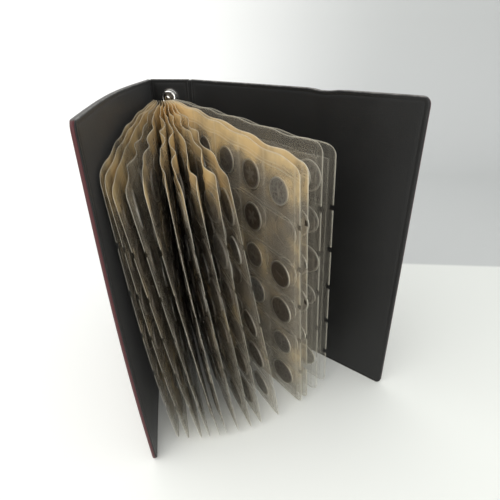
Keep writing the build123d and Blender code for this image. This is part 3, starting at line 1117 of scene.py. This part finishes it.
def pocket_strips(leaf, settings, film):
    """Six strips of front film, welded to the back sheet between pockets and below them and open
    above.  Over a coin the film stands off by the coin's height with a soft shoulder, an empty
    pocket swells a little, and each mouth gapes between its welds."""
    width = COLUMNS * COLUMN_PITCH
    column_lines = np.array(COLUMN_LINES)
    row_lines = np.array(ROW_LINES)
    columns = [column_lines + COLUMN_PITCH * column for column in range(COLUMNS)]
    lines_along = np.concatenate(columns + [[width]])
    lines_up = np.concatenate([row_lines + ROW_PITCH * row for row in range(ROWS)])
    along, up = np.meshgrid(lines_along + POCKETS_IN, lines_up + POCKETS_LOW, indexing="ij")
    keep = np.ones((along.shape[0] - 1, along.shape[1] - 1), bool)
    keep[:, len(row_lines) - 1 :: len(row_lines)] = False
    across = (along - POCKETS_IN) % COLUMN_PITCH
    above = (up - POCKETS_LOW) % ROW_PITCH
    sides = soft_step((np.minimum(across, COLUMN_PITCH - across) - 1.6) / 6.5)
    foot = soft_step((above - 1.8) / 6.0)
    mouth = 1 - 0.45 * soft_step((above - 30.0) / 8.0)
    coin = over_coins(leaf.number, along, up, 0.3, 4.2)
    crumple = 0.16 * np.sin(along / 2.9 + 7 * leaf.wave[2]) * np.sin(up / 4.1 + 5 * leaf.wave[3])
    stand = sides * foot * mouth * (0.40 + crumple)
    stand = np.maximum(stand, coin * settings.swell / MM)
    gape = 0.45 * sides * soft_step((above - 33.0) / 5.0) * (0.6 + leaf.wave[4])
    stand = 0.11 + stand + gape * (1 - coin)
    here, normal, _ = leaf.frame_at(along, up)
    amber, haze = leaf.shares(along, up)
    edge = np.minimum(along - POCKETS_IN, width + POCKETS_IN - along)
    edge = np.minimum(edge, STRIP_HEIGHT - above)
    rim = both(0.15 * np.clip(1 - edge / 1.1, 0, 1))
    press = np.maximum(both(coin) * leaf.clearness_and_glint, leaf.thin)
    return make_shell(
        leaf.body + "_pocket_film",
        here + normal * (stand + 0.12)[..., None],
        here + normal * stand[..., None],
        [film],
        keep=keep,
        corners=leaf_map(along, up),
        values={"amber": amber, "haze": haze, "rim": rim, "press": press},
    )


def settle(piece, leaf, slot, *nodes):
    """Hides the imported nodes a leaf's piece stands for, rides the piece on the leaf's body and
    gives it a mesh of its own.
    """
    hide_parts(*nodes)
    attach(piece, leaf.body)
    tuple(leaf.left)
    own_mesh(piece)


class ALBUM_OT_leaves(bpy.types.Operator):
    """Builds the fourteen clear pocket leaves"""

    bl_idname = "album.leaves"
    bl_label = "Build leaves"

    def execute(self, context):
        settings = context.scene.album_leaf
        back_film = film_material("Aged back film", settings, 0.25, 0.6)
        front_film = film_material("Aged pocket film", settings, 0.20, 1.0)
        for number, body in enumerate(LEAVES):
            leaf = Leaf(number, body, settings)
            sheet = back_sheet(leaf, settings, back_film)
            settle(sheet, leaf, "clear_film", body + "_back_sheet")
            strips = pocket_strips(leaf, settings, front_film)
            settle(strips, leaf, "clear_film", body + "_pocket_strips")
        return {"FINISHED"}


# ---------------------------------------------------------------- coins
# The relief's share of its depth at a coin's outermost line, where its rim turns over.
EDGE_RELIEF = 0.55


def coin_shape(coin, kind):
    """A coin of radius 1 and half thickness 1 in its own units: rings of points from the centre
    out on both faces.  The relief, as a share of its depth, is a raised rim, a ring of beads that
    follows the cosine of the angle, and a device: a star whose radius follows the cosine of five
    times the angle, a wreath that follows ten times it, or a plain stroke."""
    sides = coin.sides
    rings = np.array([0.05, 0.2, 0.34, 0.48, 0.6, 0.7, 0.79, 0.86, 0.9, 0.97, 1.0])
    angle = np.arange(sides) * 2 * np.pi / sides
    radius, angle = np.meshgrid(rings, angle, indexing="ij")
    bead_ring = np.exp(-(((radius - 0.79) / 0.05) ** 2))
    beads = 0.35 * (0.5 + 0.5 * np.cos(sides / 2 * angle)) * bead_ring
    star = 0.8 * soft_step((0.52 + 0.13 * np.cos(5 * angle) - radius) / 0.16)
    wreath = 0.7 * np.exp(-(((radius - 0.58) / 0.11) ** 2)) * (0.55 + 0.45 * np.cos(10 * angle))
    disc = 0.45 * soft_step((0.30 - radius) / 0.1)
    x, y = radius * np.cos(angle), radius * np.sin(angle)
    stroke = 0.8 * soft_step((0.13 - np.abs(x)) / 0.1) * soft_step((0.5 - np.abs(y)) / 0.12)
    device = (star, wreath + disc, stroke + 0.4 * wreath)[kind]
    rim = soft_step((radius - 0.84) / 0.06)
    relief = np.maximum(np.maximum(device, beads), rim)
    relief = np.where(radius > 0.99, EDGE_RELIEF, relief)
    return x, y, relief


def coin_faces(rings, sides):
    """Quads between the rings of both faces, the edge wall, and a small cap over each centre."""
    ring = np.arange(rings - 1)[:, None] * sides
    this, after = np.arange(sides)[None, :], (np.arange(sides)[None, :] + 1) % sides
    top = np.stack([ring + this, ring + sides + this, ring + sides + after, ring + after], -1)
    top = top.reshape(-1, 4)
    count = rings * sides
    low = top[:, ::-1] + count
    outer = (rings - 1) * sides
    wall = np.stack(
        [outer + after[0], outer + this[0], outer + this[0] + count, outer + after[0] + count], -1
    )[:, ::-1]
    spokes = np.arange(0, sides, 2)
    cap = np.stack(
        [np.full_like(spokes, 2 * count), spokes, spokes + 1, (spokes + 2) % sides], -1
    )
    low_cap = cap[:, ::-1] + np.array([count, count, count, 0])
    low_cap[:, 3] = 2 * count + 1
    return np.concatenate([top, low, wall, cap, low_cap])


class ALBUM_OT_coins(bpy.types.Operator):
    """Fills the pockets with generic struck coins"""

    bl_idname = "album.coins"
    bl_label = "Fill pockets"

    def execute(self, context):
        coin = context.scene.album_coin
        settings = context.scene.album_leaf
        metal = coin_material("Struck coin metal", coin)
        shapes = [coin_shape(coin, kind) for kind in range(3)]
        rings, sides = shapes[0][0].shape
        faces_one = coin_faces(rings, sides)
        per_coin = 2 * rings * sides + 2
        half = coin.thickness / MM / 2
        depth = coin.relief / MM
        for number, body in enumerate(LEAVES):
            leaf = Leaf(number, body, settings)
            plan = np.array(coin_plan(number))
            along = POCKETS_IN + COLUMN_PITCH * (plan[:, 0] + 0.5)
            up = POCKETS_LOW + ROW_PITCH * plan[:, 1] + COIN_RISE
            here, normal, over = leaf.frame_at(along, up)
            above = np.cross(normal, over)
            chance = hash_waves(900 + number, 3 * len(plan)).reshape(3, -1)
            points, alloy, struck = [], [], []
            for k in range(len(plan)):
                x, y, relief = shapes[int(chance[0, k] * 2.999)]
                spin = chance[1, k] * 2 * np.pi
                across = (x * np.cos(spin) - y * np.sin(spin)).ravel() * plan[k, 2] / 2
                upward = (x * np.sin(spin) + y * np.cos(spin)).ravel() * plan[k, 2] / 2
                out = (half - depth * (1 - relief)).ravel()
                flat = np.stack([across, upward, out], -1)
                turned = flat * np.array([1, 1, -1])
                middle = np.array([[0, 0, out[:sides].mean()], [0, 0, -out[:sides].mean()]])
                local = np.concatenate([flat, turned, middle])
                centre = here[k] + normal[k] * (0.16 + half)
                basis = np.stack([over[k], above[k], normal[k]])
                points.append(centre + local @ basis)
                alloy.append(np.full(per_coin, chance[2, k] ** 1.8))
                # painted highlight: the edge's value, and so its paleness, grows with the leaf's
                # clearness
                edge = 0.55 + 0.45 * leaf.clearness_and_glint
                bare_and_glint = np.where(relief == EDGE_RELIEF, edge, 0.8 * relief).ravel()
                struck.append(np.concatenate([bare_and_glint, bare_and_glint, [0.5, 0.5]]))
            faces = np.concatenate([faces_one + per_coin * k for k in range(len(plan))])
            piece = make_piece(
                body + "_coin_set",
                np.concatenate(points),
                faces,
                [metal],
                values={"alloy": np.concatenate(alloy), "struck": np.concatenate(struck)},
            )
            settle(piece, leaf, "coin_metal", body + "_coins")
        return {"FINISHED"}


# ---------------------------------------------------------------- stage
# Metres: the name, place, aim, width and colour of each lamp, and the camera's place.
LAMPS = (
    ("Key", (-0.55, -0.75, 1.35), (0.06, -0.08, 0.1), 1.3, (1, 0.99, 0.97)),
    ("Fill", (0.50, -1.25, 0.55), (0.08, -0.1, 0.10), 0.9, (1, 0.985, 0.95)),
)
CAMERA_PLACE = (0.1688, -0.4016, 0.3024)


def soft_light(name, place, aim, width, colour, power):
    """A square area light that looks from its place at a point."""
    light = bpy.data.lights.new(name, "AREA")
    light.shape, light.size, light.energy, light.color = "SQUARE", width, power, colour
    lamp = bpy.data.objects.new(name, light)
    bpy.context.scene.collection.objects.link(lamp)
    back = np.array(place, float) - np.array(aim, float)
    back /= np.linalg.norm(back)
    side = np.cross([0, 0, 1], back)
    side /= np.linalg.norm(side)
    rise = np.cross(back, side)
    matrix = np.eye(4)
    matrix[:3, 0], matrix[:3, 1], matrix[:3, 2], matrix[:3, 3] = side, rise, back, place
    lamp.matrix_world = Matrix(matrix.tolist())


class ALBUM_OT_stage(bpy.types.Operator):
    """Sets the pale table, the soft lights and the camera"""

    bl_idname = "album.stage"
    bl_label = "Set stage"

    def execute(self, context):
        scene = context.scene
        stage = scene.album_stage
        self.table(stage)
        for (name, *lamp), power in zip(LAMPS, (stage.key, stage.fill)):
            soft_light(name, *lamp, power)
        world = bpy.data.worlds.new("Room")
        scene.world = world
        world.use_nodes = True
        room = world.node_tree.nodes["Background"]
        room.inputs["Color"].default_value = (0.96, 0.98, 1.0, 1)
        room.inputs["Strength"].default_value = stage.sky
        scene.view_settings.view_transform = "Standard"
        scene.cycles.transparent_max_bounces = 48
        self.camera(scene, stage)
        return {"FINISHED"}

    def table(self, stage):
        """A flat table that curves up far behind: the last stretch of its profile is a quarter
        circle of radius 0.35 m and a straight wall above it."""
        flat = np.linspace(-1.6, 0.55, 12)
        arc = np.linspace(0, np.pi / 2, 14)[1:]
        depth = np.concatenate([flat, 0.55 + 0.35 * np.sin(arc), [0.9]])
        rise = np.concatenate([flat * 0, 0.35 * (1 - np.cos(arc)), [2.2]])
        stations = np.linspace(-2.2, 2.2, 9)
        across, row = np.meshgrid(stations, np.arange(len(depth)), indexing="ij")
        lean = math.radians(7.0)
        x = across * math.cos(lean) - depth[row] * math.sin(lean)
        y = across * math.sin(lean) + depth[row] * math.cos(lean)
        face = np.stack([x, y, rise[row]], -1) / MM
        walled = (rise[row] > 0.01)[..., None]
        back = face - np.array([0, 0, 8.0]) + np.array([0, 8.0, 0]) * walled
        material, tree, shader, place, bump = new_material("Pale laminate")
        x_way, y_way = parted(tree, place)[:2]
        line = plus(tree, y_way, times(tree, x_way, -0.122))
        far = ramp_node(tree, line, 0.104, 0.112)
        # painted light: the table is painted paler towards -X, the side the key light stands on,
        # on the near and the far part alike
        lit = ramp_node(tree, times(tree, x_way, -1.0), -0.35, 0.45)
        near_tone = mix_node(tree, lit, tuple(stage.floor_colour), (0.93, 0.93, 0.91))
        far_tone = mix_node(tree, lit, tuple(stage.far_colour), (0.96, 0.96, 0.94))
        tone = mix_node(tree, far, near_tone, far_tone)
        cloud = noise_node(tree, place, 6.0, 3.0)
        fill(shader, {"Base Color": tone, "Roughness": plus(tree, times(tree, cloud, 0.15), 0.42)})
        fill(bump, {"Height": cloud, "Strength": 0.02})
        piece = make_shell("table_top", face, back, [material])

    def camera(self, scene, stage):
        """A camera that looks down at the album: its forward line has the heading and tilt of the
        settings, and the roll turns it about that line."""
        data = bpy.data.cameras.new("Camera")
        data.lens, data.sensor_width = stage.lens, 36.0
        data.clip_start, data.clip_end = 0.01, 20.0
        lens = bpy.data.objects.new("Camera", data)
        scene.collection.objects.link(lens)
        sy, cy = math.sin(stage.yaw), math.cos(stage.yaw)
        sp, cp = math.sin(stage.pitch), math.cos(stage.pitch)
        ahead = np.array([sy * cp, cy * cp, -sp])
        side = np.array([cy, -sy, 0.0])
        rise = np.cross(side, ahead)
        sr, cr = math.sin(stage.roll), math.cos(stage.roll)
        matrix = np.eye(4)
        matrix[:3, 0] = side * cr + rise * sr
        matrix[:3, 1] = -side * sr + rise * cr
        matrix[:3, 2] = -ahead
        matrix[:3, 3] = CAMERA_PLACE
        lens.matrix_world = Matrix(matrix.tolist())
        scene.camera = lens


# ---------------------------------------------------------------- panel and registration
class ALBUM_PT_panel(bpy.types.Panel):
    """Settings and build steps of the coin album"""

    bl_label = "Coin Album"
    bl_idname = "ALBUM_PT_panel"
    bl_space_type = "VIEW_3D"
    bl_region_type = "UI"
    bl_category = "Coin Album"

    def draw(self, context):
        scene = context.scene
        steps = (
            (scene.album_case, "album.case"),
            (None, "album.rings"),
            (scene.album_leaf, "album.leaves"),
            (scene.album_coin, "album.coins"),
            (scene.album_stage, "album.stage"),
        )
        for settings, step in steps:
            box = self.layout.box()
            if settings is not None:
                for name in settings.__annotations__:
                    box.prop(settings, name)
            box.operator(step)


SETTINGS = {
    "album_case": CaseSettings,
    "album_leaf": LeafSettings,
    "album_coin": CoinSettings,
    "album_stage": StageSettings,
}
CLASSES = (
    *SETTINGS.values(),
    ALBUM_OT_case,
    ALBUM_OT_rings,
    ALBUM_OT_leaves,
    ALBUM_OT_coins,
    ALBUM_OT_stage,
    ALBUM_PT_panel,
)


def register():
    """Registers the classes and hangs the settings on the scene."""
    for item in CLASSES:
        bpy.utils.register_class(item)
    for name, group in SETTINGS.items():
        setattr(bpy.types.Scene, name, PointerProperty(type=group))


def unregister():
    """Takes the settings and classes away again."""
    for name in SETTINGS:
        delattr(bpy.types.Scene, name)
    for item in reversed(CLASSES):
        bpy.utils.unregister_class(item)


def main():
    """Builds the whole album."""
    register()
    bpy.ops.album.case()
    bpy.ops.album.rings()
    bpy.ops.album.leaves()
    bpy.ops.album.coins()
    bpy.ops.album.stage()


if __name__ == "__main__":
    main()
